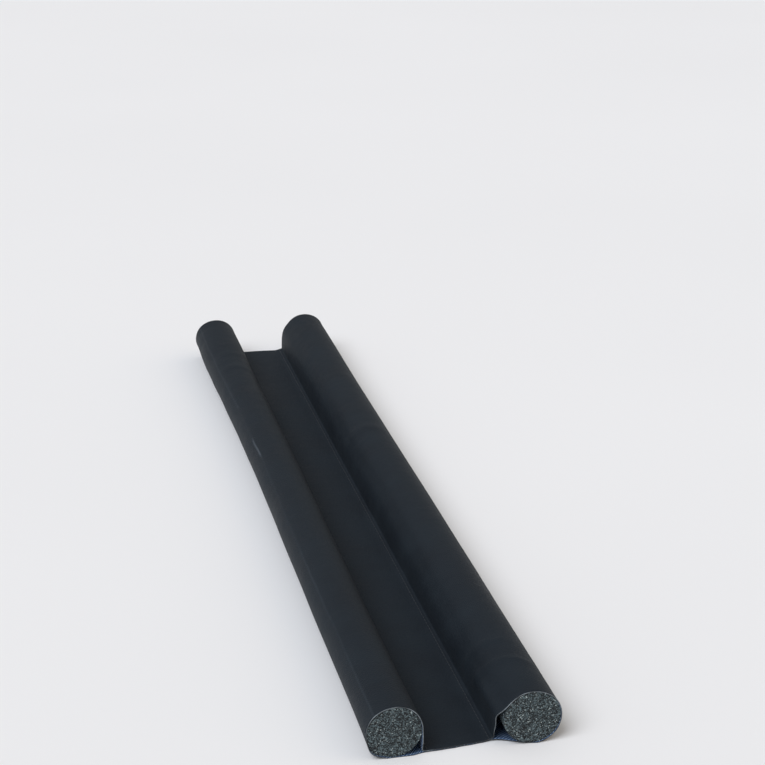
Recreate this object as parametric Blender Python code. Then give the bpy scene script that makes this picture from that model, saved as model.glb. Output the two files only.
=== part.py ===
"""Double draught excluder for the foot of a door.

One cloth sleeve lies flat under the door. It is sewn along both edges of
that flat strip, which leaves a long channel on each side, open at its ends.
A round foam rod fills each channel. The left channel is snug, and the right
one has slack that stands away from its rod beside the seam.

Sizes are in millimetres and become metres where the meshes are made. X runs
across the strip, Y along the rolls and Z up. The floor is at Z = 0, and the
origin lies on it under the middle of the whole thing.
"""

import math
from typing import NamedTuple

import bmesh
import bpy

MM = 0.001

# The cloth and the cut
CLOTH = 1.0
SLEEVE_LENGTH = 720.0
ROD_INSET = 0.4
FIT = 0.35

# The turn of the upper layer where it rises from the strip beside a seam
FOOT_RADIUS = 1.2
SPAN_START_PULL = 0.62
SPAN_END_PULL = 0.34

# How finely the sections and the length are divided
FOOT_STEPS = 2
SPAN_STEPS = 5
ARC_STEPS = 22
RUN_STEPS = 4
STRIP_STEPS = 6
ROD_SIDES = 30
PLAIN_STEPS = 18
RIDGE_STEP = 4.0
RIDGE_SPREAD = 1.6

# The strip lies flat under the door, and only this share of its width beside
# the right seam rises from the floor
STRIP_RISE_SHARE = 0.11


class Fold(NamedTuple):
    """How a channel lies at one place along its length."""

    along: float   # distance from the near cut edge
    drift: float   # bow of the whole roll towards +X
    widen: float   # added to the roll's half width
    rise: float    # added to the roll's half height
    leave: float   # angle on the roll where the cloth leaves it for the seam
    lift: float    # height of the seam's underside above the floor, 0 on the left


class Ridge(NamedTuple):
    """A soft crease standing up across a roll, from the seam over its top."""

    along: float   # distance from the near cut edge
    height: float
    width: float   # half width, along the roll
    slant: float   # how far it runs along the roll by the time it fades
    reach: float   # share of the way round the channel where it fades out


class Roll(NamedTuple):
    """One channel with its rod, in distances outwards from X = 0."""

    side: int            # +1 on the right, -1 on the left
    centre: float        # the rod's axis
    half_width: float    # of the cloth's outer face
    half_height: float
    seam: float          # the stitched edge of the strip
    shift: float         # along Y, because the two rolls aren't quite level
    folds: tuple
    ridges: tuple


LEFT = Roll(
    side=-1,
    centre=40.1,
    half_width=16.9,
    half_height=16.5,
    seam=21.8,
    shift=1.4,
    folds=(
        Fold(along=0, drift=0.0, widen=0.0, rise=0.0, leave=177, lift=0.0),
        Fold(along=120, drift=-0.3, widen=-0.2, rise=-0.1, leave=176, lift=0.0),
        Fold(along=250, drift=0.1, widen=-0.3, rise=-0.1, leave=173, lift=0.0),
        Fold(along=330, drift=0.6, widen=-0.3, rise=0.0, leave=175, lift=0.0),
        Fold(along=400, drift=0.8, widen=-0.3, rise=0.1, leave=176, lift=0.0),
        Fold(along=480, drift=0.4, widen=-0.1, rise=0.1, leave=174, lift=0.0),
        Fold(along=560, drift=-0.4, widen=0.2, rise=0.2, leave=170, lift=0.0),
        Fold(along=620, drift=-1.0, widen=0.9, rise=0.3, leave=168, lift=0.0),
        Fold(along=660, drift=-1.1, widen=1.5, rise=0.5, leave=166, lift=0.0),
        Fold(along=720, drift=-0.7, widen=1.0, rise=0.4, leave=165, lift=0.0),
    ),
    ridges=(),
)

RIGHT = Roll(
    side=1,
    centre=41.5,
    half_width=17.9,
    half_height=17.1,
    seam=19.0,
    shift=-1.4,
    folds=(
        Fold(along=0, drift=0.0, widen=0.0, rise=0.0, leave=156, lift=0.9),
        Fold(along=80, drift=0.0, widen=0.0, rise=0.0, leave=154, lift=0.9),
        Fold(along=170, drift=0.1, widen=-0.1, rise=0.0, leave=149, lift=0.6),
        Fold(along=300, drift=0.4, widen=-0.2, rise=-0.1, leave=143, lift=1.0),
        Fold(along=430, drift=-0.4, widen=0.0, rise=0.1, leave=155, lift=0.4),
        Fold(along=560, drift=-0.6, widen=0.0, rise=0.1, leave=147, lift=0.8),
        Fold(along=660, drift=0.0, widen=0.0, rise=0.0, leave=142, lift=1.1),
        Fold(along=720, drift=0.0, widen=0.0, rise=0.1, leave=138, lift=1.3),
    ),
    ridges=(
        Ridge(along=76, height=1.1, width=5.0, slant=-54.0, reach=0.5),
        Ridge(along=79, height=0.7, width=5.0, slant=-20.0, reach=0.42),
        Ridge(along=432, height=0.9, width=6.0, slant=-5.0, reach=0.5),
    ),
)


def smooth(share: float) -> float:
    """Ease a share from 0 to 1, held at both ends."""
    held = min(max(share, 0.0), 1.0)
    return held * held * (3.0 - 2.0 * held)


def fold_at(folds: tuple, along: float) -> Fold:
    """Read a table of folds between its rows."""
    for before, after in zip(folds, folds[1:]):
        if along <= after.along:
            share = smooth((along - before.along) / (after.along - before.along))
            return Fold(*(low + (high - low) * share for low, high in zip(before, after)))
    return folds[-1]


def stations(roll_ridges: tuple) -> list:
    """List the distances along the sleeve at which it has a section."""
    places = {SLEEVE_LENGTH * step / PLAIN_STEPS for step in range(PLAIN_STEPS + 1)}
    for ridge in roll_ridges:
        ends = sorted((ridge.along, ridge.along + ridge.slant))
        first = math.ceil((ends[0] - RIDGE_SPREAD * ridge.width) / RIDGE_STEP)
        last = math.floor((ends[1] + RIDGE_SPREAD * ridge.width) / RIDGE_STEP)
        places |= {RIDGE_STEP * step for step in range(first, last + 1)}
    return sorted(places)


def bezier(start: tuple, pull_a: tuple, pull_b: tuple, end: tuple, share: float) -> tuple:
    """Read one point of a cubic Bezier curve."""
    rest = 1.0 - share
    weights = (rest ** 3, 3 * rest ** 2 * share, 3 * rest * share ** 2, share ** 3)
    corners = (start, pull_a, pull_b, end)
    return tuple(sum(w * corner[axis] for w, corner in zip(weights, corners)) for axis in range(2))


def channel_outline(roll: Roll, along: float) -> list:
    """Trace the outer face of a channel, seam top to seam underside.

    Points are (distance outwards, height). The path rises from the strip,
    crosses the slack to the roll, follows the roll round to its foot and
    runs back along the floor to the seam.
    """
    fold = fold_at(roll.folds, along)
    axis = roll.centre + roll.side * fold.drift
    half_width = roll.half_width + fold.widen
    half_height = roll.half_height + fold.rise
    seam_top = fold.lift + 2.0 * CLOTH
    points = []
    for step in range(FOOT_STEPS):
        turn = 0.5 * math.pi * step / FOOT_STEPS
        points.append((roll.seam + FOOT_RADIUS * math.sin(turn),
                       seam_top + FOOT_RADIUS * (1.0 - math.cos(turn))))
    start = (roll.seam + FOOT_RADIUS, seam_top + FOOT_RADIUS)
    leave = math.radians(fold.leave)
    end = (axis + half_width * math.cos(leave), half_height * (1.0 + math.sin(leave)))
    reach = math.dist(start, end)
    heading = (half_width * math.sin(leave), -half_height * math.cos(leave))
    pull = SPAN_END_PULL * reach / math.hypot(*heading)
    rise = (start[0], start[1] + SPAN_START_PULL * reach)
    meet = (end[0] - pull * heading[0], end[1] - pull * heading[1])
    for step in range(SPAN_STEPS):
        points.append(bezier(start, rise, meet, end, step / SPAN_STEPS))
    for step in range(ARC_STEPS):
        turn = leave - (leave + 0.5 * math.pi) * step / ARC_STEPS
        points.append((axis + half_width * math.cos(turn), half_height * (1.0 + math.sin(turn))))
    for step in range(RUN_STEPS + 1):
        share = step / RUN_STEPS
        points.append((axis + (roll.seam - axis) * share, fold.lift * smooth(share)))
    return points


def inward(points: list) -> list:
    """List the unit normals that point into a channel, one a point."""
    normals = []
    last = len(points) - 1
    for index in range(last + 1):
        if index in (0, last):
            normals.append((0.0, -1.0 if index == 0 else 1.0))
            continue
        before, after = points[index - 1], points[index + 1]
        size = math.dist(before, after)
        normals.append(((after[1] - before[1]) / size, (before[0] - after[0]) / size))
    return normals


def ridge_height(roll: Roll, along: float, share: float) -> float:
    """Add up the creases at one place on a roll.

    Args:
        roll: the roll that carries them.
        along: distance from the near cut edge.
        share: how far round the channel, 0 at the seam's top.
    """
    total = 0.0
    for ridge in roll.ridges:
        offset = (along - ridge.along - ridge.slant * share / ridge.reach) / ridge.width
        fade = smooth(share / 0.12) * smooth(2.0 * (1.0 - share / ridge.reach))
        total += ridge.height * fade * math.exp(-offset * offset)
    return total


def channel_faces(roll: Roll, along: float) -> tuple:
    """Give the outer and the inner face of a channel's cloth, point by point."""
    plain = channel_outline(roll, along)
    normals = inward(plain)
    last = len(plain) - 1
    outer, inner = [], []
    for index, (point, normal) in enumerate(zip(plain, normals)):
        lift = ridge_height(roll, along, index / last)
        outer.append((point[0] - lift * normal[0], point[1] - lift * normal[1]))
        depth = CLOTH - lift
        inner.append((point[0] + depth * normal[0], point[1] + depth * normal[1]))
    return outer, inner


def strip_height(share: float, along: float) -> float:
    """Give the strip's underside, share 0 at the left seam, 1 at the right."""
    return fold_at(RIGHT.folds, along).lift * smooth(1.0 - (1.0 - share) / STRIP_RISE_SHARE)


class Section:
    """The sleeve's cloth at one place along it, as vertices of a mesh."""

    def __init__(self, mesh: bmesh.types.BMesh, along: float):
        """Make the vertices of both channels and of the strip between them."""
        self.mesh = mesh
        self.along = along
        self.right_outer, self.right_inner = self.channel(RIGHT)
        self.left_outer, self.left_inner = self.channel(LEFT)
        self.strip_under = self.strip(0.0)
        self.strip_top = self.strip(2.0 * CLOTH)

    def place(self, x: float, z: float, shift: float) -> bmesh.types.BMVert:
        """Add one vertex."""
        y = self.along - 0.5 * SLEEVE_LENGTH + shift
        return self.mesh.verts.new((x * MM, y * MM, z * MM))

    def channel(self, roll: Roll) -> tuple:
        """Make one channel's outer vertices, and its inner ones as a ring."""
        outer, inner = channel_faces(roll, self.along)
        outside = [self.place(roll.side * across, height, roll.shift) for across, height in outer]
        inside = [self.place(roll.side * across, height, roll.shift) for across, height in inner[:-1]]
        return outside, inside

    def strip(self, above: float) -> list:
        """Make one face of the strip between the seams, left to right."""
        row = []
        for step in range(1, STRIP_STEPS):
            share = 1.0 - (1.0 - step / STRIP_STEPS) ** 2
            x = -LEFT.seam + (RIGHT.seam + LEFT.seam) * share
            shift = LEFT.shift + (RIGHT.shift - LEFT.shift) * share
            row.append(self.place(x, strip_height(share, self.along) + above, shift))
        return row

    def rings(self) -> tuple:
        """Give the outer skin and both channel linings as closed rings."""
        skin = self.right_outer + self.strip_under[::-1] + self.left_outer[::-1] + self.strip_top
        return skin, self.right_inner, self.left_inner

    def close(self) -> None:
        """Fill the cut edge of the cloth, as at either end of the sleeve."""
        for outer, inner in ((self.right_outer, self.right_inner), (self.left_outer, self.left_inner)):
            round_inner = inner + inner[:1]
            for index in range(len(outer) - 1):
                self.mesh.faces.new((outer[index], outer[index + 1],
                                     round_inner[index + 1], round_inner[index]))
        top = self.left_outer[:1] + self.strip_top + self.right_outer[:1]
        under = self.left_outer[-1:] + self.strip_under + self.right_outer[-1:]
        for index in range(1, STRIP_STEPS - 1):
            self.mesh.faces.new((top[index], top[index + 1], under[index + 1], under[index]))
        for seam, first, second in ((self.left_inner[0], 0, 1), (self.right_inner[0], -1, -2)):
            self.mesh.faces.new((seam, top[first], top[second]))
            self.mesh.faces.new((seam, under[second], under[first]))
            self.mesh.faces.new((seam, top[second], under[second]))


def coloured(name: str, colour: tuple, roughness: float) -> bpy.types.Material:
    """Make a plain material for one sub-part."""
    material = bpy.data.materials.new(name)
    material.use_nodes = True
    shader = material.node_tree.nodes["Principled BSDF"]
    shader.inputs["Base Color"].default_value = (*colour, 1.0)
    shader.inputs["Roughness"].default_value = roughness
    shader.inputs["Metallic"].default_value = 0.0
    return material


def finished(name: str, mesh: bmesh.types.BMesh, material: bpy.types.Material,
             home: bpy.types.Collection) -> bpy.types.Object:
    """Turn a mesh into a named, smooth-shaded object in the collection."""
    bmesh.ops.recalc_face_normals(mesh, faces=mesh.faces)
    data = bpy.data.meshes.new(name)
    mesh.to_mesh(data)
    mesh.free()
    data.shade_smooth()
    data.set_sharp_from_angle(angle=math.radians(40.0))
    data.materials.append(material)
    made = bpy.data.objects.new(name, data)
    home.objects.link(made)
    return made


def make_sleeve(home: bpy.types.Collection) -> bpy.types.Object:
    """Loft the cloth sleeve through its sections and close its cut edges."""
    mesh = bmesh.new()
    sections = [Section(mesh, along) for along in stations(LEFT.ridges + RIGHT.ridges)]
    for before, after in zip(sections, sections[1:]):
        for ring_a, ring_b in zip(before.rings(), after.rings()):
            for index in range(len(ring_a)):
                following = (index + 1) % len(ring_a)
                mesh.faces.new((ring_a[index], ring_a[following], ring_b[following], ring_b[index]))
    sections[0].close()
    sections[-1].close()
    cloth = coloured("black coated cloth", (0.028, 0.032, 0.036), 0.55)
    return finished("sleeve", mesh, cloth, home)


def make_rod(name: str, roll: Roll, home: bpy.types.Collection) -> bpy.types.Object:
    """Bend a straight bar of foam to the bow of its channel."""
    mesh = bmesh.new()
    bmesh.ops.create_cone(mesh, cap_ends=True, cap_tris=False, segments=ROD_SIDES,
                          radius1=1.0, radius2=1.0, depth=1.0)
    long_edges = [edge for edge in mesh.edges if abs(edge.verts[0].co.z - edge.verts[1].co.z) > 0.5]
    bmesh.ops.subdivide_edges(mesh, edges=long_edges, cuts=PLAIN_STEPS - 1, use_grid_fill=True)
    half_width = roll.half_width - CLOTH - FIT
    half_height = roll.half_height - CLOTH - FIT
    for vert in mesh.verts:
        share = vert.co.z + 0.5
        along = ROD_INSET + share * (SLEEVE_LENGTH - 2.0 * ROD_INSET)
        axis = roll.side * roll.centre + fold_at(roll.folds, along).drift
        trim = rod_trim(roll, along)
        x = axis + (half_width + trim) * vert.co.x
        z = roll.half_height + (half_height + trim) * vert.co.y
        y = along - 0.5 * SLEEVE_LENGTH + roll.shift
        vert.co = (x * MM, y * MM, z * MM)
    foam = coloured("charcoal foam", (0.036, 0.040, 0.042), 0.9)
    return finished(name, mesh, foam, home)


def rod_trim(roll: Roll, along: float) -> float:
    """Give how much a tight loop squeezes its rod, as a change of radius."""
    fold = fold_at(roll.folds, along)
    return min(fold.widen, fold.rise, 0.0)


def main() -> None:
    """Build the draught excluder."""
    for old in list(bpy.data.objects):
        bpy.data.objects.remove(old, do_unlink=True)
    home = bpy.data.collections.new("draught_excluder")
    bpy.context.scene.collection.children.link(home)
    make_sleeve(home)
    make_rod("foam_rod_left", LEFT, home)
    make_rod("foam_rod_right", RIGHT, home)


if __name__ == "__main__":
    main()
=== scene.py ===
"""Dress the double draught excluder.

The frame gives a cloth sleeve and the two foam rods in its channels. This
script makes what shows of them: the cloth as one thin sheet that is folded
round both rods and sewn shut beside each, the knife-cut foam, and the rows of
stitches. A plain studio with the camera stands round them.

Sizes are in millimetres unless a name or a comment says otherwise. X runs
across the strip, Y along the rolls and Z up, as in the frame.
"""

import logging
import math
import random
from dataclasses import dataclass
from enum import Enum
from functools import cached_property

import bmesh
import bpy
from mathutils import Euler, Matrix, Vector, noise


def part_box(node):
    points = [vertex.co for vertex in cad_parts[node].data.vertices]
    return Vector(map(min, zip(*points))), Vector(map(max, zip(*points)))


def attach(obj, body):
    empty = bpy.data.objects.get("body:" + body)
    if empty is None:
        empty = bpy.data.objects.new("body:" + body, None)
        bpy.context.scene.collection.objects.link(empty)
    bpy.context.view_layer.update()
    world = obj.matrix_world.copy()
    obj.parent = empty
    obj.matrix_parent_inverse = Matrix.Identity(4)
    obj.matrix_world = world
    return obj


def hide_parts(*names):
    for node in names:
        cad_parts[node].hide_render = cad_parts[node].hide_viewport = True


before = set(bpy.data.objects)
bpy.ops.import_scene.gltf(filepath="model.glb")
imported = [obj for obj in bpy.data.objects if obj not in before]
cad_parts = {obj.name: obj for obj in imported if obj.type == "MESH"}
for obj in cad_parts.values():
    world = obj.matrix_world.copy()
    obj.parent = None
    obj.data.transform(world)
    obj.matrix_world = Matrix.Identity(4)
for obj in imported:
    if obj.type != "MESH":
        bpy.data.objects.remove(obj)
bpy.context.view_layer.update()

log = logging.getLogger("draught_excluder")

MM = 0.001
CUT_MAP = "cut"

# The cloth, and how the two layers of the strip lie on each other
CLOTH = 0.55
LAYER_GAP = 0.15
ROD_GAP = 0.15
ROD_INSET = 0.4
SEAM_STACK = 2.0 * CLOTH + LAYER_GAP
STRIP_PUFF = 0.22
STRIP_ARCH = 0.12
STRIP_ARCH_SHARE = 0.05
# Only this share of the strip, beside the right seam, rises from the floor
STRIP_RISE_SHARE = 0.11
# How late across the strip its near cut edge falls back
STRIP_CUT_BEND = 1.3
# How far in from either seam the stitches run, as a share of the strip
STITCH_SHARE = 0.035
FOOT_RADIUS = 1.2
SPAN_START_PULL = 0.62
SPAN_END_PULL = 0.34

# How finely the sheet is divided, round it and along it
FOOT_STEPS = 3
SPAN_STEPS = 12
ARC_STEPS = 52
RUN_STEPS = 8
STRIP_STEPS = 18
SLEEVE_ROWS = 200
END_CROWDING = 0.36

# The packing crease, as a distance round the left channel from its seam
FOLD_LINE_AROUND = 55.3
# How far along the waviness of the cut edges dies out, at either end
NEAR_CUT_REACH = 30.0
FAR_CUT_REACH = 16.0


class Side(Enum):
    """The two channels, with the sign of X on which each lies."""

    LEFT = -1
    RIGHT = 1


class ClothFace(Enum):
    """The material slots of the sheet."""

    OUTSIDE = 0
    LINING = 1
    CUT_EDGE = 2


def smooth(share: float) -> float:
    """Ease a share from 0 to 1, held at both ends."""
    held = min(max(share, 0.0), 1.0)
    return held * held * (3.0 - 2.0 * held)


def mix(low: float, high: float, share: float) -> float:
    """Read between two values."""
    return low + (high - low) * share


def ripple(across: float, along: float, size: float, seed: float) -> float:
    """Give smooth noise from -1 to 1 on the flat cut of the cloth.

    Args:
        across: place across the cut.
        along: place along it.
        size: how far apart the noise's hills are.
        seed: sets one pattern apart from the next.

    Returns:
        The noise at that place.
    """
    return noise.noise(Vector((across / size, along / size, seed)))


@dataclass(frozen=True)
class Fold:
    """How a channel lies at one place along its length.

    The fields are the distance from the near cut edge, the bow of the roll
    towards +X, what is added to its half width and half height, the angle
    in degrees at which the cloth leaves it for the seam, and the seam's
    height above the floor.
    """

    along: float
    drift: float
    widen: float
    rise: float
    leave: float
    lift: float

    def towards(self, other: "Fold", share: float) -> "Fold":
        """Read between this place and another."""
        return Fold(*(mix(getattr(self, name), getattr(other, name), share)
                      for name in self.__dataclass_fields__))


@dataclass(frozen=True)
class Swell:
    """A place near the cut end where the foam bulges and takes the cloth along.

    The fields are its angle on the roll and its spread, in degrees, its
    height, and how far along the roll it fades out.
    """

    turn: float
    spread: float
    height: float
    reach: float


@dataclass(frozen=True)
class Crease:
    """A soft ridge in the cloth of one channel.

    Its ends are (distance round the channel from the seam's top, distance
    along from the near cut edge). The crest share makes part of the ridge
    sharper, the bow bends its line, and the fades are shares of its length.
    """

    start: tuple[float, float]
    end: tuple[float, float]
    height: float
    width: float
    crest: float = 0.0
    bow: float = 0.0
    fade_in: float = 0.25
    fade_out: float = 0.4

    def lift(self, around: float, along: float) -> float:
        """Give how far the crease lifts the cloth at one place."""
        run = self.end[0] - self.start[0]
        climb = self.end[1] - self.start[1]
        length = math.hypot(run, climb)
        step_around = around - self.start[0]
        step_along = along - self.start[1]
        share = (step_around * run + step_along * climb) / (length * length)
        if not 0.0 < share < 1.0:
            return 0.0
        bend = 4.0 * self.bow * share * (1.0 - share)
        offset = ((step_along * run - step_around * climb) / length - bend) / self.width
        if abs(offset) > 3.0:
            return 0.0
        fade = smooth(share / self.fade_in) * smooth((1.0 - share) / self.fade_out)
        body = math.exp(-offset * offset)
        return self.height * fade * mix(body, body ** 8, self.crest)


@dataclass(frozen=True)
class Place:
    """One place on a cross-section of the sheet.

    around is the distance from the seam's top round a channel, and reach its
    share. On the strip, side is None and reach the share from left to right.
    """

    x: float
    z: float
    side: Side | None
    reach: float
    around: float = 0.0
    turn: float | None = None


@dataclass(frozen=True)
class Channel:
    """One channel of the sleeve with its rod, in distances outwards from X = 0."""

    side: Side
    rod_node: str
    centre: float
    half_width: float
    half_height: float
    seam: float
    near_setback: float
    span_setback: float
    folds: tuple[Fold, ...]
    swells: tuple[Swell, ...]
    creases: tuple[Crease, ...]

    @cached_property
    def near(self) -> float:
        """Give the near cut edge's place along Y, from the rod in the frame."""
        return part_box(self.rod_node)[0].y / MM - ROD_INSET

    @cached_property
    def length(self) -> float:
        """Give the channel's length, from the rod in the frame."""
        low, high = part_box(self.rod_node)
        return (high.y - low.y) / MM + 2.0 * ROD_INSET

    def fold(self, along: float) -> Fold:
        """Read the folds between their rows."""
        for before, after in zip(self.folds, self.folds[1:]):
            if along <= after.along:
                share = (along - before.along) / (after.along - before.along)
                return before.towards(after, smooth(share))
        return self.folds[-1]

    def swell(self, turn: float, along: float) -> float:
        """Give how far the foam bulges at an angle in degrees."""
        total = 0.0
        for swell in self.swells:
            away = (turn - swell.turn + 180.0) % 360.0 - 180.0
            fade = 1.0 - smooth(along / swell.reach)
            total += swell.height * math.exp(-(away / swell.spread) ** 2) * fade
        return total

    def outline(self, along: float) -> list[Place]:
        """Trace the outer face round the channel, seam top to seam underside.

        The path rises from the strip, crosses the slack to the roll, follows
        the roll to its foot and runs back along the floor to the seam.

        Args:
            along: distance from the near cut edge.

        Returns:
            The places, with x as a distance outwards.
        """
        fold = self.fold(along)
        axis = self.centre + self.side.value * fold.drift
        half_width = self.half_width + fold.widen
        half_height = self.half_height + fold.rise
        seam_top = fold.lift + SEAM_STACK
        path: list[tuple[Vector, float | None]] = []
        for step in range(FOOT_STEPS):
            turn = 0.5 * math.pi * step / FOOT_STEPS
            path.append((Vector((self.seam + FOOT_RADIUS * math.sin(turn),
                                 seam_top + FOOT_RADIUS * (1.0 - math.cos(turn)))), None))
        leave = math.radians(fold.leave)
        start = Vector((self.seam + FOOT_RADIUS, seam_top + FOOT_RADIUS))
        end = Vector((axis + half_width * math.cos(leave), half_height * (1.0 + math.sin(leave))))
        reach = (end - start).length
        heading = Vector((half_width * math.sin(leave), -half_height * math.cos(leave))).normalized()
        pull_a = start + Vector((0.0, SPAN_START_PULL * reach))
        pull_b = end - heading * SPAN_END_PULL * reach
        for step in range(SPAN_STEPS):
            share = step / SPAN_STEPS
            low = start.lerp(pull_a, share).lerp(pull_a.lerp(pull_b, share), share)
            high = pull_a.lerp(pull_b, share).lerp(pull_b.lerp(end, share), share)
            path.append((low.lerp(high, share), None))
        for step in range(ARC_STEPS):
            turn = mix(leave, -0.5 * math.pi, step / ARC_STEPS)
            degrees = math.degrees(turn)
            bulge = self.swell(degrees, along)
            path.append((Vector((axis + (half_width + bulge) * math.cos(turn),
                                 half_height + (half_height + bulge) * math.sin(turn))), degrees))
        for step in range(RUN_STEPS + 1):
            share = step / RUN_STEPS
            path.append((Vector((mix(axis, self.seam, share), fold.lift * smooth(share))), None))
        walked = [0.0]
        for (before, _), (after, _) in zip(path, path[1:]):
            walked.append(walked[-1] + (after - before).length)
        return [Place(point.x, point.y, self.side, distance / walked[-1], distance, turn)
                for (point, turn), distance in zip(path, walked)]

    def crease_lift(self, place: Place, along: float) -> float:
        """Add up the creases, the soft unevenness and the flare of the cut ends."""
        total = sum(crease.lift(place.around, along) for crease in self.creases)
        seed = 3.0 * self.side.value
        held = smooth(place.around / 6.0) * smooth((1.0 - place.reach) / 0.2)
        total += held * (0.16 * ripple(place.around, along * 0.6, 38.0, seed)
                         + 0.05 * ripple(place.around, along * 0.8, 11.0, seed + 1.0))
        if place.turn is not None:
            end_gap = min(along, self.length - along)
            unevenness = 0.6 + 0.7 * ripple(place.around, 0.0, 13.0, seed + 2.0)
            total += 0.3 * math.exp(-end_gap / 3.0) * unevenness
        return max(total, -0.5 * ROD_GAP)


def seam_puckers(seed: int, seam_run: float, length: float) -> tuple[Crease, ...]:
    """Scatter the small gathers that the stitches pull in beside a seam.

    Args:
        seed: sets one seam's gathers apart from the other's.
        seam_run: how far round the channel the longest one reaches.
        length: the channel's length.

    Returns:
        Short creases, uneven in place, length and height.
    """
    draw = random.Random(seed)
    puckers = []
    along = 9.0
    while along < length - 12.0:
        reach = seam_run * draw.uniform(0.45, 1.0)
        slant = draw.uniform(-4.0, 4.0)
        puckers.append(Crease(start=(1.0, along), end=(reach, along + slant),
                              height=draw.uniform(0.12, 0.42), width=draw.uniform(2.4, 4.2),
                              bow=draw.uniform(-1.0, 1.0), fade_in=0.12, fade_out=0.75))
        along += draw.uniform(9.0, 31.0)
    return tuple(puckers)


def left_channel() -> Channel:
    """Describe the snug left channel."""
    return Channel(
        side=Side.LEFT,
        rod_node="foam_rod_left",
        centre=40.1,
        half_width=16.9,
        half_height=16.5,
        seam=21.8,
        near_setback=1.8,
        span_setback=8.0,
        folds=(
            Fold(along=0, drift=0.0, widen=0.0, rise=0.0, leave=177, lift=0.0),
            Fold(along=120, drift=-0.3, widen=-0.2, rise=-0.1, leave=176, lift=0.0),
            Fold(along=250, drift=0.1, widen=-0.3, rise=-0.1, leave=173, lift=0.0),
            Fold(along=330, drift=0.6, widen=-0.3, rise=0.0, leave=175, lift=0.0),
            Fold(along=400, drift=0.8, widen=-0.3, rise=0.1, leave=176, lift=0.0),
            Fold(along=480, drift=0.4, widen=-0.1, rise=0.1, leave=174, lift=0.0),
            Fold(along=560, drift=-0.4, widen=0.2, rise=0.2, leave=170, lift=0.0),
            Fold(along=620, drift=-1.0, widen=0.9, rise=0.3, leave=168, lift=0.0),
            Fold(along=660, drift=-1.1, widen=1.5, rise=0.5, leave=166, lift=0.0),
            Fold(along=720, drift=-0.7, widen=1.0, rise=0.4, leave=165, lift=0.0),
        ),
        swells=(Swell(turn=-44.0, spread=17.0, height=1.5, reach=46.0),),
        creases=(
            Crease(start=(FOLD_LINE_AROUND, -30.0), end=(55.8, 420.0), height=0.18, width=2.6,
                   crest=0.5, fade_in=0.05),
            Crease(start=(55.8, 400.0), end=(53.0, 640.0), height=0.1, width=2.8,
                   crest=0.4, fade_in=0.3),
            Crease(start=(10.0, 582.0), end=(62.0, 598.0), height=0.4, width=6.0, bow=2.0),
            Crease(start=(14.0, 634.0), end=(58.0, 626.0), height=0.35, width=5.5, bow=-2.0),
        ) + seam_puckers(seed=11, seam_run=15.0, length=720.0),
    )


def right_channel() -> Channel:
    """Describe the right channel, whose slack stands away from its rod."""
    return Channel(
        side=Side.RIGHT,
        rod_node="foam_rod_right",
        centre=41.5,
        half_width=17.9,
        half_height=17.1,
        seam=19.0,
        near_setback=7.8,
        span_setback=26.0,
        folds=(
            Fold(along=0, drift=0.0, widen=0.0, rise=0.0, leave=156, lift=0.9),
            Fold(along=80, drift=0.0, widen=0.0, rise=0.0, leave=154, lift=0.9),
            Fold(along=170, drift=0.1, widen=-0.1, rise=0.0, leave=149, lift=0.6),
            Fold(along=300, drift=0.4, widen=-0.2, rise=-0.1, leave=143, lift=1.0),
            Fold(along=430, drift=-0.4, widen=0.0, rise=0.1, leave=155, lift=0.4),
            Fold(along=560, drift=-0.6, widen=0.0, rise=0.1, leave=147, lift=0.8),
            Fold(along=660, drift=0.0, widen=0.0, rise=0.0, leave=142, lift=1.1),
            Fold(along=720, drift=0.0, widen=0.0, rise=0.1, leave=138, lift=1.3),
        ),
        swells=(),
        creases=(
            Crease(start=(19.0, -25.0), end=(17.0, 75.0), height=2.8, width=5.0,
                   fade_in=0.05, fade_out=0.65),
            Crease(start=(6.0, 55.0), end=(62.0, 35.0), height=1.2, width=4.4,
                   crest=0.45, bow=-0.8, fade_in=0.2),
            Crease(start=(6.0, 76.0), end=(54.0, 62.0), height=0.85, width=4.0,
                   crest=0.45, bow=0.8, fade_in=0.2),
            Crease(start=(5.0, 432.0), end=(60.0, 427.0), height=0.9, width=6.0, crest=0.2, bow=1.0),
        ) + seam_puckers(seed=23, seam_run=22.0, length=720.0),
    )


def linear(hex_colour: str) -> tuple[float, float, float, float]:
    """Turn an sRGB hex colour into linear values, with an alpha of 1."""
    shades = [int(hex_colour[index:index + 2], 16) / 255.0 for index in (1, 3, 5)]
    red, green, blue = (shade / 12.92 if shade <= 0.04045 else ((shade + 0.055) / 1.055) ** 2.4
                        for shade in shades)
    return red, green, blue, 1.0


def add(tree: bpy.types.NodeTree, kind: str, inputs: dict | None = None,
        **settings) -> bpy.types.Node:
    """Add one shader node.

    Args:
        tree: the material's nodes.
        kind: the node's type without its ShaderNode prefix.
        inputs: values, or the outputs to link, by socket name or number.
        **settings: the node's own properties.

    Returns:
        The node.
    """
    made = tree.nodes.new("ShaderNode" + kind)
    for name, value in settings.items():
        setattr(made, name, value)
    for socket, value in (inputs or {}).items():
        if isinstance(value, bpy.types.NodeSocket):
            tree.links.new(value, made.inputs[socket])
        else:
            made.inputs[socket].default_value = value
    return made


def start_material(name: str) -> tuple[bpy.types.Material, bpy.types.NodeTree, bpy.types.Node]:
    """Start a material, and give it with its nodes and its surface shader."""
    material = bpy.data.materials.new(name)
    material.use_nodes = True
    return material, material.node_tree, material.node_tree.nodes["Principled BSDF"]


def wave_scale(pitch: float) -> float:
    """Give the Wave Texture scale whose bands are a pitch in millimetres apart."""
    return 2.0 * math.pi / (20.0 * pitch * MM)


def per_metre(size: float) -> float:
    """Give the texture scale whose features are a size in millimetres."""
    return 1.0 / (size * MM)


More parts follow.
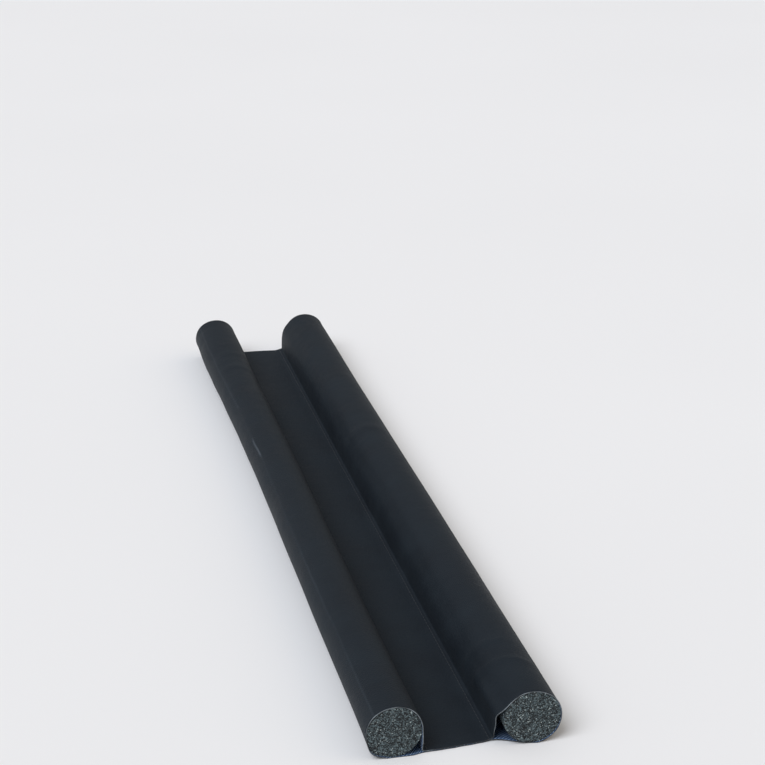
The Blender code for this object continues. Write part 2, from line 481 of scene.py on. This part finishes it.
@dataclass(frozen=True)
class CoatedCloth:
    """Polyester oxford cloth with a polyurethane coat, rolled smooth at the mill.

    The coat fills the weave, so the eye gets a near-black satin with a slate
    cast, a soft wide gloss and only a print of the threads. Along the packing
    crease on the left roll the colour is lightened by a painted highlight,
    which stands in for sheen on the crease's ridge, and at one place by a
    pale scratch, which is wear.
    """

    fold_line: float
    length: float
    shade: str = "#1a2026"
    dulled: str = "#20272d"
    # Painted highlight along the packing crease, also the colour of the pale scratch on it
    highlight_and_scratch: str = "#4c545b"
    # The threads are 0.4 mm apart, too fine to show, so they are drawn coarser
    thread_pitch: float = 1.1
    cloud_size: float = 42.0
    dent_size: float = 11.0
    grain_size: float = 1.3
    line_width: float = 1.3
    line_wander: float = 1.0

    def material(self) -> bpy.types.Material:
        """Make the material."""
        material, tree, shader = start_material("coated_oxford_cloth")
        cut = add(tree, "UVMap", uv_map=CUT_MAP).outputs["UV"]
        pitch = wave_scale(self.thread_pitch)
        warp = add(tree, "TexWave", {"Vector": cut, "Scale": pitch}, bands_direction="X").outputs["Fac"]
        weft = add(tree, "TexWave", {"Vector": cut, "Scale": pitch}, bands_direction="Y").outputs["Fac"]
        over = add(tree, "TexChecker", {"Vector": cut,
                                        "Scale": per_metre(self.thread_pitch)}).outputs["Fac"]
        weave = add(tree, "Mix", {0: over, 2: warp, 3: weft}).outputs[0]
        cloud = add(tree, "TexNoise", {"Vector": cut, "Scale": per_metre(self.cloud_size), "Detail": 5.0,
                                       "Roughness": 0.6}).outputs["Fac"]
        grain = add(tree, "TexNoise", {"Vector": cut, "Scale": per_metre(self.grain_size),
                                       "Detail": 3.0}).outputs["Fac"]
        dulling = add(tree, "MapRange", {"Value": cloud, "From Min": 0.34,
                                         "From Max": 0.66}).outputs["Result"]
        ground = add(tree, "Mix", {0: dulling, 6: linear(self.shade), 7: linear(self.dulled)},
                     data_type="RGBA").outputs[2]
        # Painted highlight along the packing crease, with a real pale scratch on it, lightens the cloth
        highlighted_and_scratched = add(tree, "Mix", {0: self.highlight_scratch_mask(tree, cut), 6: ground, 7: linear(self.highlight_and_scratch)},
                   data_type="RGBA").outputs[2]
        gloss = add(tree, "MapRange", {"Value": cloud, "From Min": 0.3, "From Max": 0.7, "To Min": 0.54,
                                       "To Max": 0.68}).outputs["Result"]
        handled = add(tree, "TexNoise", {"Vector": cut, "Scale": per_metre(self.dent_size),
                                         "Detail": 3.0}).outputs["Fac"]
        print_through = add(tree, "Bump", {"Height": weave, "Strength": 0.16, "Distance": 0.0003})
        grainy = add(tree, "Bump", {"Height": grain, "Strength": 0.6, "Distance": 0.0004,
                                    "Normal": print_through.outputs["Normal"]})
        relief = add(tree, "Bump", {"Height": handled, "Strength": 0.35, "Distance": 0.0008,
                                    "Normal": grainy.outputs["Normal"]})
        tree.links.new(highlighted_and_scratched, shader.inputs["Base Color"])
        tree.links.new(gloss, shader.inputs["Roughness"])
        tree.links.new(relief.outputs["Normal"], shader.inputs["Normal"])
        shader.inputs["IOR"].default_value = 1.48
        shader.inputs["Specular IOR Level"].default_value = 0.12
        shader.inputs["Sheen Weight"].default_value = 0.01
        shader.inputs["Sheen Roughness"].default_value = 0.4
        return material

    def highlight_scratch_mask(self, tree: bpy.types.NodeTree, cut: bpy.types.NodeSocket) -> bpy.types.NodeSocket:
        """Mask the painted highlight along the packing crease on the left roll, and the pale scratch on
        it.

        Args:
            tree: the material's nodes.
            cut: the place on the flat cut, in metres.

        Returns:
            The mask, from 0 to 1.
        """
        split = add(tree, "SeparateXYZ", {0: cut})
        away = add(tree, "Math", {0: split.outputs["X"], 1: self.fold_line * MM},
                   operation="SUBTRACT")
        wander = add(tree, "TexNoise", {"Vector": cut, "Scale": per_metre(30.0), "Detail": 1.0})
        drift = add(tree, "MapRange", {"Value": wander.outputs["Fac"], "To Min": -self.line_wander * MM,
                                       "To Max": self.line_wander * MM})
        wavy = add(tree, "Math", {0: away.outputs[0], 1: drift.outputs["Result"]}, operation="ADD")
        offset = add(tree, "Math", {0: wavy.outputs[0]}, operation="ABSOLUTE")
        line = add(tree, "MapRange", {"Value": offset.outputs[0], "From Max": self.line_width * MM,
                                      "To Min": 1.0, "To Max": 0.0}, interpolation_type="SMOOTHSTEP")
        share = add(tree, "Math", {0: split.outputs["Y"], 1: 1.0 / (self.length * MM)},
                    operation="MULTIPLY")
        strength = add(tree, "ValToRGB", {"Fac": share.outputs[0]})
        # Shares of the length, with how strong the painted highlight along the crease is there; the
        # strongest is a scratch
        stops = ((0.0, 0.14), (0.07, 0.13), (0.15, 0.06), (0.27, 0.14), (0.36, 0.06), (0.55, 0.06),
                 (0.565, 0.7), (0.6, 0.6), (0.61, 0.05), (0.7, 0.03), (0.71, 0.3), (0.716, 0.02))
        ramp = strength.color_ramp
        for place, value in stops[2:]:
            ramp.elements.new(place).color = (value, value, value, 1.0)
        for element, (place, value) in zip((ramp.elements[0], ramp.elements[-1]), stops[:2]):
            element.position = place
            element.color = (value, value, value, 1.0)
        return add(tree, "Math", {0: line.outputs["Result"], 1: strength.outputs["Color"]},
                   operation="MULTIPLY").outputs[0]


@dataclass(frozen=True)
class TwillBack:
    """The uncoated back of the cloth, a piece-dyed polyester twill.

    Its floats catch the light, so the navy ground is dotted with paler blue
    along the diagonals.
    """

    ground: str = "#24446a"
    floats: str = "#b5cbe0"
    # The twill's lines are 0.5 mm apart, drawn coarser so that they show
    line_pitch: float = 1.5
    line_lean: float = 52.0

    def material(self) -> bpy.types.Material:
        """Make the material."""
        material, tree, shader = start_material("navy_twill_back")
        cut = add(tree, "UVMap", uv_map=CUT_MAP).outputs["UV"]
        lean = (0.0, 0.0, math.radians(self.line_lean))
        turned = add(tree, "Mapping", {"Vector": cut, "Rotation": lean}).outputs["Vector"]
        pitch = wave_scale(self.line_pitch)
        lines = add(tree, "TexWave", {"Vector": turned, "Scale": pitch},
                    bands_direction="X").outputs["Fac"]
        picks = add(tree, "TexWave", {"Vector": turned, "Scale": pitch},
                    bands_direction="Y").outputs["Fac"]
        height = add(tree, "Math", {0: lines, 1: picks}, operation="MULTIPLY").outputs[0]
        dots = add(tree, "MapRange", {"Value": height, "From Min": 0.45,
                                      "From Max": 0.9}).outputs["Result"]
        colour = add(tree, "Mix", {0: dots, 6: linear(self.ground), 7: linear(self.floats)},
                     data_type="RGBA").outputs[2]
        relief = add(tree, "Bump", {"Height": height, "Strength": 0.5, "Distance": 0.0002})
        tree.links.new(colour, shader.inputs["Base Color"])
        tree.links.new(relief.outputs["Normal"], shader.inputs["Normal"])
        shader.inputs["Roughness"].default_value = 0.72
        shader.inputs["Sheen Weight"].default_value = 0.1
        return material


@dataclass(frozen=True)
class CutClothEdge:
    """The cloth's edge where a hot knife cut it.

    The melted ends of the threads make a thin pale line. It is painted pale
    only over the tops of the rolls, where light falls on it; painted shade
    darkens it on the strip and towards the rolls' undersides, and noise
    patches where the coat has run over it dim it at random.
    """

    middle: float
    pale: str = "#838c92"
    # Painted shade on the edge, over the strip and towards the rolls' undersides
    painted_shade_tone: str = "#24282b"
    patch_size: float = 9.0
    # Where, from the middle of the cut, the painted shade of the strip ends and the lit band over the roll
    # tops fades into painted shade
    strip_reach: float = 21.0
    roll_reach: float = 88.0

    def material(self) -> bpy.types.Material:
        """Make the material."""
        material, tree, shader = start_material("hot_cut_cloth_edge")
        cut = add(tree, "UVMap", uv_map=CUT_MAP).outputs["UV"]
        runs = add(tree, "TexNoise", {"Vector": cut, "Scale": per_metre(self.patch_size),
                                      "Detail": 6.0}).outputs["Fac"]
        bare = add(tree, "MapRange", {"Value": runs, "From Min": 0.38, "From Max": 0.64, "To Min": 0.12})
        split = add(tree, "SeparateXYZ", {0: cut})
        step = add(tree, "Math", {0: split.outputs["X"], 1: self.middle * MM},
                   operation="SUBTRACT")
        away = add(tree, "Math", {0: step.outputs[0]}, operation="ABSOLUTE").outputs[0]
        # Painted shade on the strip, then a painted lit band over the roll tops that fades to painted
        # shade further round
        clear_of_strip_shade = add(tree, "MapRange", {"Value": away, "From Min": (self.strip_reach - 3.0) * MM,
                                           "From Max": (self.strip_reach + 2.0) * MM})
        lit_roll_tops = add(tree, "MapRange", {"Value": away, "From Min": (self.roll_reach - 10.0) * MM,
                                           "From Max": (self.roll_reach + 12.0) * MM,
                                           "To Min": 1.0, "To Max": 0.2})
        lit_share = add(tree, "Math", {0: clear_of_strip_shade.outputs["Result"], 1: lit_roll_tops.outputs["Result"]},
                    operation="MULTIPLY").outputs[0]
        lit_paleness = add(tree, "Math", {0: lit_share, 1: bare.outputs["Result"]},
                       operation="MULTIPLY").outputs[0]
        colour = add(tree, "Mix", {0: lit_paleness, 6: linear(self.painted_shade_tone), 7: linear(self.pale)},
                     data_type="RGBA").outputs[2]
        tree.links.new(colour, shader.inputs["Base Color"])
        shader.inputs["Roughness"].default_value = 0.6
        return material


@dataclass(frozen=True)
class CutFoam:
    """Polyethylene foam, extruded as a rod and cut across with a knife.

    The cut opens its cells, so the face is a charcoal froth: dark hollows,
    greyer walls between them, and a few cell skins that glint.
    """

    hollow: str = "#090b0d"
    wall: str = "#6c7d81"
    glint: str = "#c2cecc"
    # The cells are 0.4 to 0.7 mm across
    cell: float = 0.58
    froth_size: float = 1.9
    glint_share: float = 0.045

    def material(self) -> bpy.types.Material:
        """Make the material."""
        material, tree, shader = start_material("charcoal_polyethylene_foam")
        place = add(tree, "TexCoord").outputs["Object"]
        cells = add(tree, "TexVoronoi", {"Vector": place, "Scale": per_metre(self.cell)})
        chance = add(tree, "SeparateColor", {0: cells.outputs["Color"]})
        depth = add(tree, "Math", {0: chance.outputs[0], 1: 2.2}, operation="POWER").outputs[0]
        froth = add(tree, "TexNoise", {"Vector": place, "Scale": per_metre(self.froth_size), "Detail": 4.0,
                                       "Roughness": 0.7}).outputs["Fac"]
        patch = add(tree, "MapRange", {"Value": froth, "From Min": 0.3, "From Max": 0.7, "To Min": 0.7,
                                       "To Max": 1.0}).outputs["Result"]
        body = add(tree, "Math", {0: depth, 1: patch}, operation="MULTIPLY").outputs[0]
        charcoal = add(tree, "Mix", {0: body, 6: linear(self.hollow), 7: linear(self.wall)},
                       data_type="RGBA").outputs[2]
        lit = add(tree, "MapRange", {"Value": chance.outputs[1], "From Min": 1.0 - self.glint_share,
                                     "From Max": 1.0}).outputs["Result"]
        colour = add(tree, "Mix", {0: lit, 6: charcoal, 7: linear(self.glint)},
                     data_type="RGBA").outputs[2]
        relief = add(tree, "Bump", {"Height": body, "Strength": 0.7, "Distance": 0.0004})
        tree.links.new(colour, shader.inputs["Base Color"])
        tree.links.new(relief.outputs["Normal"], shader.inputs["Normal"])
        shader.inputs["Roughness"].default_value = 0.75
        shader.inputs["Specular IOR Level"].default_value = 0.35
        return material


@dataclass(frozen=True)
class SewingThread:
    """Bonded polyester sewing thread of three twisted plies.

    It is dyed black and waxed, so it is a touch glossier than the cloth.
    """

    dye: str = "#1b1d20"
    lit_ply: str = "#3b4045"
    ply_pitch: float = 0.7

    def material(self) -> bpy.types.Material:
        """Make the material."""
        material, tree, shader = start_material("black_sewing_thread")
        place = add(tree, "TexCoord").outputs["Object"]
        plies = add(tree, "TexWave", {"Vector": place, "Scale": wave_scale(self.ply_pitch)},
                    bands_direction="DIAGONAL").outputs["Fac"]
        colour = add(tree, "Mix", {0: plies, 6: linear(self.dye), 7: linear(self.lit_ply)},
                     data_type="RGBA").outputs[2]
        relief = add(tree, "Bump", {"Height": plies, "Strength": 0.5, "Distance": 0.0001})
        tree.links.new(colour, shader.inputs["Base Color"])
        tree.links.new(relief.outputs["Normal"], shader.inputs["Normal"])
        shader.inputs["Roughness"].default_value = 0.45
        return material


@dataclass(frozen=True)
class PaleFloor:
    """A matt painted board, pale and almost without a mark."""

    paint: str = "#f0f0ef"
    scuffed: str = "#ebebea"
    scuff_size: float = 700.0

    def material(self) -> bpy.types.Material:
        """Make the material."""
        material, tree, shader = start_material("pale_painted_board")
        place = add(tree, "TexCoord").outputs["Object"]
        cloud = add(tree, "TexNoise", {"Vector": place, "Scale": per_metre(self.scuff_size),
                                       "Detail": 2.0}).outputs["Fac"]
        colour = add(tree, "Mix", {0: cloud, 6: linear(self.paint), 7: linear(self.scuffed)},
                     data_type="RGBA").outputs[2]
        tree.links.new(colour, shader.inputs["Base Color"])
        shader.inputs["Roughness"].default_value = 0.85
        return material


def finish_piece(name: str, mesh: bmesh.types.BMesh, materials: list[bpy.types.Material],
                 sharp: float) -> bpy.types.Object:
    """Turn a mesh in millimetres into a smooth-shaded piece on the part's body.

    Args:
        name: the piece's name.
        mesh: the mesh, which is used up.
        materials: its material slots, in order.
        sharp: the angle in degrees above which an edge stays sharp.

    Returns:
        The piece.
    """
    bmesh.ops.scale(mesh, vec=(MM, MM, MM), verts=mesh.verts)
    data = bpy.data.meshes.new(name)
    mesh.to_mesh(data)
    mesh.free()
    data.shade_smooth()
    data.set_sharp_from_angle(angle=math.radians(sharp))
    for material in materials:
        data.materials.append(material)
    piece = bpy.data.objects.new(name, data)
    bpy.context.scene.collection.objects.link(piece)
    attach(piece, "root")
    return piece


@dataclass
class Sleeve:
    """The cloth, one sheet folded round both rods and sewn shut beside each."""

    left: Channel
    right: Channel
    edge_wave: float = 0.32

    @property
    def length(self) -> float:
        """Give the sleeve's length."""
        return self.left.length

    def strip_rise(self, share: float, along: float) -> float:
        """Give how far the strip is lifted, share 0 at the left seam and 1 at the right."""
        near_right_seam = 1.0 - (1.0 - share) / STRIP_RISE_SHARE
        return self.right.fold(along).lift * smooth(near_right_seam)

    def strip_under(self, share: float, along: float) -> float:
        """Give the strip's underside."""
        held = smooth(share / STRIP_ARCH_SHARE) * smooth((1.0 - share) / STRIP_ARCH_SHARE)
        return self.strip_rise(share, along) + STRIP_ARCH * held

    def strip_top(self, share: float, along: float) -> float:
        """Give the strip's upper face, a little puffed between the seams."""
        unevenness = 1.0 + 0.5 * ripple(share * 38.0, along, 26.0, 5.0)
        puff = STRIP_PUFF * math.sin(math.pi * share) * unevenness
        return self.strip_rise(share, along) + SEAM_STACK + max(puff, 0.0)

    def strip_x(self, share: float) -> float:
        """Give the place across for a share of the strip."""
        return mix(-self.left.seam, self.right.seam, share)

    def strip(self, shares: list[float], along: float, top: bool) -> list[Place]:
        """List places across the strip, on its upper face or its underside."""
        height = self.strip_top if top else self.strip_under
        return [Place(self.strip_x(share), height(share, along), None, share) for share in shares]

    def section(self, along: float) -> list[Place]:
        """Trace the sheet round its closed cross-section.

        It starts under the middle of the strip and goes round the left roll,
        over the strip, round the right roll and back.

        Args:
            along: distance from the near cut edge.

        Returns:
            The places in order, the last one on the first.
        """
        shares = [0.5 + 0.5 * math.sin(math.pi * (step / STRIP_STEPS - 0.5))
                  for step in range(1, STRIP_STEPS)]
        half_steps = STRIP_STEPS // 2
        towards_left = [0.5 * (1.0 - step / half_steps) for step in range(half_steps)]
        towards_right = [1.0 - share for share in reversed(towards_left)]
        path = self.strip(towards_left, along, top=False)
        path += [Place(-place.x, place.z, place.side, place.reach, place.around, place.turn)
                 for place in reversed(self.left.outline(along))]
        path += self.strip(shares, along, top=True)
        path += self.right.outline(along)
        path += self.strip(towards_right, along, top=False)
        return path

    def station(self, share: float) -> float:
        """Give the distance along for a share of the rows, which crowd at the ends."""
        turn = 2.0 * math.pi * share
        return self.length * (share - END_CROWDING * math.sin(turn) / (2.0 * math.pi))

    def channel(self, place: Place) -> Channel | None:
        """Give the channel that a place lies on, or None on the strip."""
        return {Side.LEFT: self.left, Side.RIGHT: self.right}.get(place.side)

    def level(self, place: Place) -> float:
        """Give the place along Y of a straight near cut edge."""
        channel = self.channel(place)
        return channel.near if channel else mix(self.left.near, self.right.near, place.reach)

    def setback(self, place: Place) -> float:
        """Give how far the near cut edge is set back from its level."""
        channel = self.channel(place)
        if channel is None:
            return mix(self.left.near_setback, self.right.near_setback, place.reach ** STRIP_CUT_BEND)
        whole = place.around / place.reach if place.reach else 0.0
        from_seam = min(place.around, whole - place.around) if place.reach else 0.0
        return channel.near_setback * (1.0 - smooth(from_seam / channel.span_setback))

    def lift(self, place: Place, along: float) -> float:
        """Give how far the cloth stands out from its plain section."""
        channel = self.channel(place)
        return channel.crease_lift(place, along) if channel else 0.0

    def cut_wave(self, around: float, size: float, seed: float) -> float:
        """Give how far a cut edge wanders from straight, at a distance across the flat cut."""
        fine = 0.5 * ripple(around, 0.0, 5.0, seed + 1.0)
        return self.edge_wave * (ripple(around, 0.0, size, seed) + fine)

    def row(self, along: float, walked: list[float]) -> list[Vector]:
        """Place one row of the sheet's points.

        Args:
            along: distance from the near cut edge.
            walked: each column's distance across the flat cut.

        Returns:
            The points, in millimetres.
        """
        path = self.section(along)
        last = len(path) - 1
        row = []
        for column, place in enumerate(path):
            before = path[column - 1] if column else path[last - 1]
            after = path[column + 1] if column < last else path[1]
            outwards = Vector((before.z - after.z, 0.0, after.x - before.x)).normalized()
            around = walked[column] % walked[last]
            near_shift = self.setback(place) + self.cut_wave(around, 17.0, 8.0)
            far_shift = self.cut_wave(around, 15.0, 18.0)
            y = self.level(place) + along + near_shift * (1.0 - smooth(along / NEAR_CUT_REACH))
            y += far_shift * (1.0 - smooth((self.length - along) / FAR_CUT_REACH))
            point = Vector((place.x, y, place.z)) + outwards * self.lift(place, along)
            point.z = max(point.z, 0.0)
            row.append(point)
        return row

    def flat_columns(self) -> list[float]:
        """Give each column's distance across the flat cut, half-way along."""
        path = self.section(0.5 * self.length)
        walked = [0.0]
        for before, after in zip(path, path[1:]):
            walked.append(walked[-1] + math.hypot(after.x - before.x, after.z - before.z))
        return walked

    def fold_line(self, around: float) -> float:
        """Give the place across the flat cut of a distance round the left channel."""
        path = self.section(0.5 * self.length)
        walked = self.flat_columns()
        foot = next(index for index, place in enumerate(path)
                    if place.side is None and index > STRIP_STEPS)
        return walked[foot - 1] - around

    def build(self, finishes: list[bpy.types.Material]) -> bpy.types.Object:
        """Fold the sheet, weld it along its hidden join and give it thickness.

        Args:
            finishes: the materials, in the order of ClothFace.

        Returns:
            The piece.
        """
        walked = self.flat_columns()
        columns = len(walked) - 1
        mesh = bmesh.new()
        bmesh.ops.create_grid(mesh, x_segments=columns, y_segments=SLEEVE_ROWS, size=1.0)
        cut = mesh.loops.layers.uv.new(CUT_MAP)
        stations = [self.station(row / SLEEVE_ROWS) for row in range(SLEEVE_ROWS + 1)]
        rows = [self.row(along, walked) for along in stations]
        address = {vert: (round((vert.co.x + 1.0) * 0.5 * columns),
                          round((vert.co.y + 1.0) * 0.5 * SLEEVE_ROWS)) for vert in mesh.verts}
        for face in mesh.faces:
            for loop in face.loops:
                column, row = address[loop.vert]
                loop[cut].uv = (walked[column] * MM, stations[row] * MM)
        for vert, (column, row) in address.items():
            vert.co = rows[row][column]
        bmesh.ops.remove_doubles(mesh, verts=mesh.verts, dist=0.01)
        piece = finish_piece("sleeve_cloth", mesh, finishes, sharp=60.0)
        wall = piece.modifiers.new("cloth_thickness", "SOLIDIFY")
        wall.thickness = CLOTH * MM
        wall.offset = -1.0
        wall.use_even_offset = True
        wall.material_offset = ClothFace.LINING.value
        wall.material_offset_rim = ClothFace.CUT_EDGE.value
        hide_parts("sleeve")
        self.length * MM
        return piece


@dataclass
class FoamRod:
    """The foam rod in one channel, with its knife-cut ends."""

    channel: Channel
    end_cuts: int = 71
    length_cuts: int = 40
    cell: float = 1.1
    relief: float = 0.14
    unevenness: float = 0.18

    def build(self, name: str, foam: bpy.types.Material) -> bpy.types.Object:
        """Round a finely divided bar to the channel's bow and roughen its ends.

        Args:
            name: the piece's name.
            foam: its material.

        Returns:
            The piece.
        """
        mesh = bmesh.new()
        bmesh.ops.create_cube(mesh, size=2.0)
        for axis, cuts in ((1, self.length_cuts), (0, self.end_cuts), (2, self.end_cuts)):
            edges = [edge for edge in mesh.edges
                     if abs(edge.verts[0].co[axis] - edge.verts[1].co[axis]) > 1.0]
            bmesh.ops.subdivide_edges(mesh, edges=edges, cuts=cuts, use_grid_fill=True)
        for vert in mesh.verts:
            vert.co = self.place(vert.co)
        bmesh.ops.recalc_face_normals(mesh, faces=mesh.faces)
        piece = finish_piece(name, mesh, [foam], sharp=55.0)
        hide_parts(self.channel.rod_node)
        return piece

    def place(self, corner: Vector) -> Vector:
        """Move a point of the square bar, 2 across and 2 long, to the rod.

        Args:
            corner: the point on the bar, with the bar's length along Y.

        Returns:
            The point on the rod, in millimetres.
        """
        across = corner.x * math.sqrt(1.0 - 0.5 * corner.z ** 2)
        up = corner.z * math.sqrt(1.0 - 0.5 * corner.x ** 2)
        share = 0.5 * (corner.y + 1.0)
        along = ROD_INSET + share * (self.channel.length - 2.0 * ROD_INSET)
        fold = self.channel.fold(along)
        trim = min(fold.widen, fold.rise, 0.0) - CLOTH - ROD_GAP
        turn = math.degrees(math.atan2(up, across * self.channel.side.value))
        bulge = self.channel.swell(turn, along) * math.hypot(across, up) ** 2
        x = self.channel.side.value * self.channel.centre + fold.drift
        x += (self.channel.half_width + trim + bulge) * across
        z = self.channel.half_height + (self.channel.half_height + trim + bulge) * up
        y = self.channel.near + along
        if abs(corner.y) > 0.999:
            y += math.copysign(self.cell_relief(x, z, corner.y), corner.y)
        return Vector((x, y, z))

    def cell_relief(self, x: float, z: float, end: float) -> float:
        """Give how far the cut face stands out at one place, cell by cell."""
        distances, _ = noise.voronoi(Vector((x / self.cell, end * 7.0, z / self.cell)))
        wall = 1.0 - min((distances[1] - distances[0]) / 0.5, 1.0)
        broad = noise.noise(Vector((x / 9.0, end * 3.0, z / 9.0)))
        return self.relief * (wall - 0.7) + self.unevenness * broad


@dataclass
class StitchRow:
    """A row of lockstitches beside one seam, on one face of the strip."""

    sleeve: Sleeve
    share: float
    top: bool
    pitch: float = 4.2
    stitch: float = 3.5
    # Thread is 0.35 mm thick, drawn a little thicker so that it shows
    width: float = 0.55
    height: float = 0.36
    # How far its middle stands off the cloth's outer face
    standing: float = 0.06
    slant: float = 5.0

    def build(self, name: str, thread: bpy.types.Material) -> bpy.types.Object:
        """Lay the stitches along the strip.

        Args:
            name: the piece's name.
            thread: the material.

        Returns:
            The piece.
        """
        mesh = bmesh.new()
        count = int((self.sleeve.length - 2.0 * self.pitch) / self.pitch)
        place = Place(0.0, 0.0, None, self.share)
        setback = self.sleeve.setback(place)
        near = self.sleeve.level(place) + setback
        run = self.sleeve.length - setback
        face_height = self.sleeve.strip_top if self.top else self.sleeve.strip_under
        x = self.sleeve.strip_x(self.share)
        for index in range(count):
            along = run * (index + 0.7) / (count + 0.4)
            z = face_height(self.share, along) + self.standing
            slant = math.radians(self.slant + 2.0 * noise.noise(Vector((index * 0.7, 2.0, 0.0))))
            verts = bmesh.ops.create_uvsphere(mesh, u_segments=8, v_segments=6, radius=0.5)["verts"]
            bmesh.ops.rotate(mesh, verts=verts, matrix=Matrix.Rotation(0.5 * math.pi, 3, "X"))
            bmesh.ops.scale(mesh, verts=verts, vec=(self.width, self.stitch, self.height))
            bmesh.ops.rotate(mesh, verts=verts, matrix=Matrix.Rotation(slant, 3, "Z"))
            bmesh.ops.translate(mesh, verts=verts, vec=(x, near + along, z))
        piece = finish_piece(name, mesh, [thread], sharp=80.0)
        return piece


@dataclass
class Studio:
    """A pale floor under soft light, and the camera at the photograph's angle.

    The camera's place is in metres in the part's frame, and its angles are in
    degrees: the heading turns from +Y towards +X.
    """

    camera_place: tuple[float, float, float] = (-0.2561, -1.2833, 0.5786)
    heading: float = 12.77
    look_down: float = 20.15
    tilt: float = -0.2
    lens: float = 89.19
    floor_size: float = 40.0
    sky: str = "#f4f6fa"
    sky_strength: float = 0.48

    def build(self, paint: bpy.types.Material) -> None:
        """Make the floor, the lights and the camera."""
        scene = bpy.context.scene
        scene.view_settings.view_transform = "Standard"
        world = bpy.data.worlds.new("soft_daylight")
        world.use_nodes = True
        background = world.node_tree.nodes["Background"]
        background.inputs["Color"].default_value = linear(self.sky)
        background.inputs["Strength"].default_value = self.sky_strength
        scene.world = world
        self.floor(paint)
        self.light("daylight", place=(-1.0, -0.7, 1.5), strength=2.15, spread=42.0, colour="#f4f7ff")
        self.light("warm_fill", place=(1.3, -0.3, 0.8), strength=0.4, spread=60.0, colour="#ffd9a0")
        self.camera()

    def floor(self, paint: bpy.types.Material) -> None:
        """Lay the floor at Z = 0."""
        mesh = bmesh.new()
        bmesh.ops.create_grid(mesh, x_segments=1, y_segments=1, size=0.5 * self.floor_size)
        data = bpy.data.meshes.new("floor")
        mesh.to_mesh(data)
        mesh.free()
        data.materials.append(paint)
        floor = bpy.data.objects.new("floor", data)
        bpy.context.scene.collection.objects.link(floor)

    def light(self, name: str, place: tuple[float, float, float], strength: float, spread: float,
              colour: str) -> None:
        """Let soft light in from one side.

        Args:
            name: the light's name.
            place: where it comes from, seen from the part.
            strength: its strength in watts per square metre.
            spread: how wide the source looks, in degrees.
            colour: its sRGB hex colour.
        """
        data = bpy.data.lights.new(name, "SUN")
        data.energy = strength
        data.angle = math.radians(spread)
        data.color = linear(colour)[:3]
        lamp = bpy.data.objects.new(name, data)
        lamp.location = place
        lamp.rotation_euler = (-Vector(place)).to_track_quat("-Z", "Y").to_euler()
        bpy.context.scene.collection.objects.link(lamp)

    def camera(self) -> None:
        """Stand the camera where the photograph was taken from."""
        data = bpy.data.cameras.new("camera")
        data.sensor_width = 36.0
        data.lens = self.lens
        camera = bpy.data.objects.new("camera", data)
        aim = Euler((math.radians(90.0 - self.look_down), 0.0, -math.radians(self.heading))).to_matrix()
        turned = aim @ Matrix.Rotation(math.radians(self.tilt), 3, "Z")
        camera.location = self.camera_place
        camera.rotation_euler = turned.to_euler()
        bpy.context.scene.collection.objects.link(camera)
        bpy.context.scene.camera = camera


def main() -> None:
    """Build the pieces in order, dress them and report each one."""
    left, right = left_channel(), right_channel()
    sleeve = Sleeve(left, right)
    fold_line = sleeve.fold_line(around=FOLD_LINE_AROUND)
    outside = CoatedCloth(fold_line=fold_line, length=sleeve.length).material()
    middle = 0.5 * sleeve.flat_columns()[-1]
    cloth = [outside, TwillBack().material(), CutClothEdge(middle=middle).material()]
    foam = CutFoam().material()
    thread = SewingThread().material()
    pieces = [
        sleeve.build(cloth),
        FoamRod(left).build("left_foam", foam),
        FoamRod(right).build("right_foam", foam),
    ]
    for side, share in (("left", STITCH_SHARE), ("right", 1.0 - STITCH_SHARE)):
        pieces.append(StitchRow(sleeve, share, top=True).build(f"{side}_stitches_top", thread))
        pieces.append(StitchRow(sleeve, share, top=False).build(f"{side}_stitches_under", thread))
    for piece in pieces:
        log.info("%s: %d faces", piece.name, len(piece.data.polygons))
    Studio().build(PaleFloor().material())


if __name__ == "__main__":
    logging.basicConfig(level=logging.INFO)
    main()
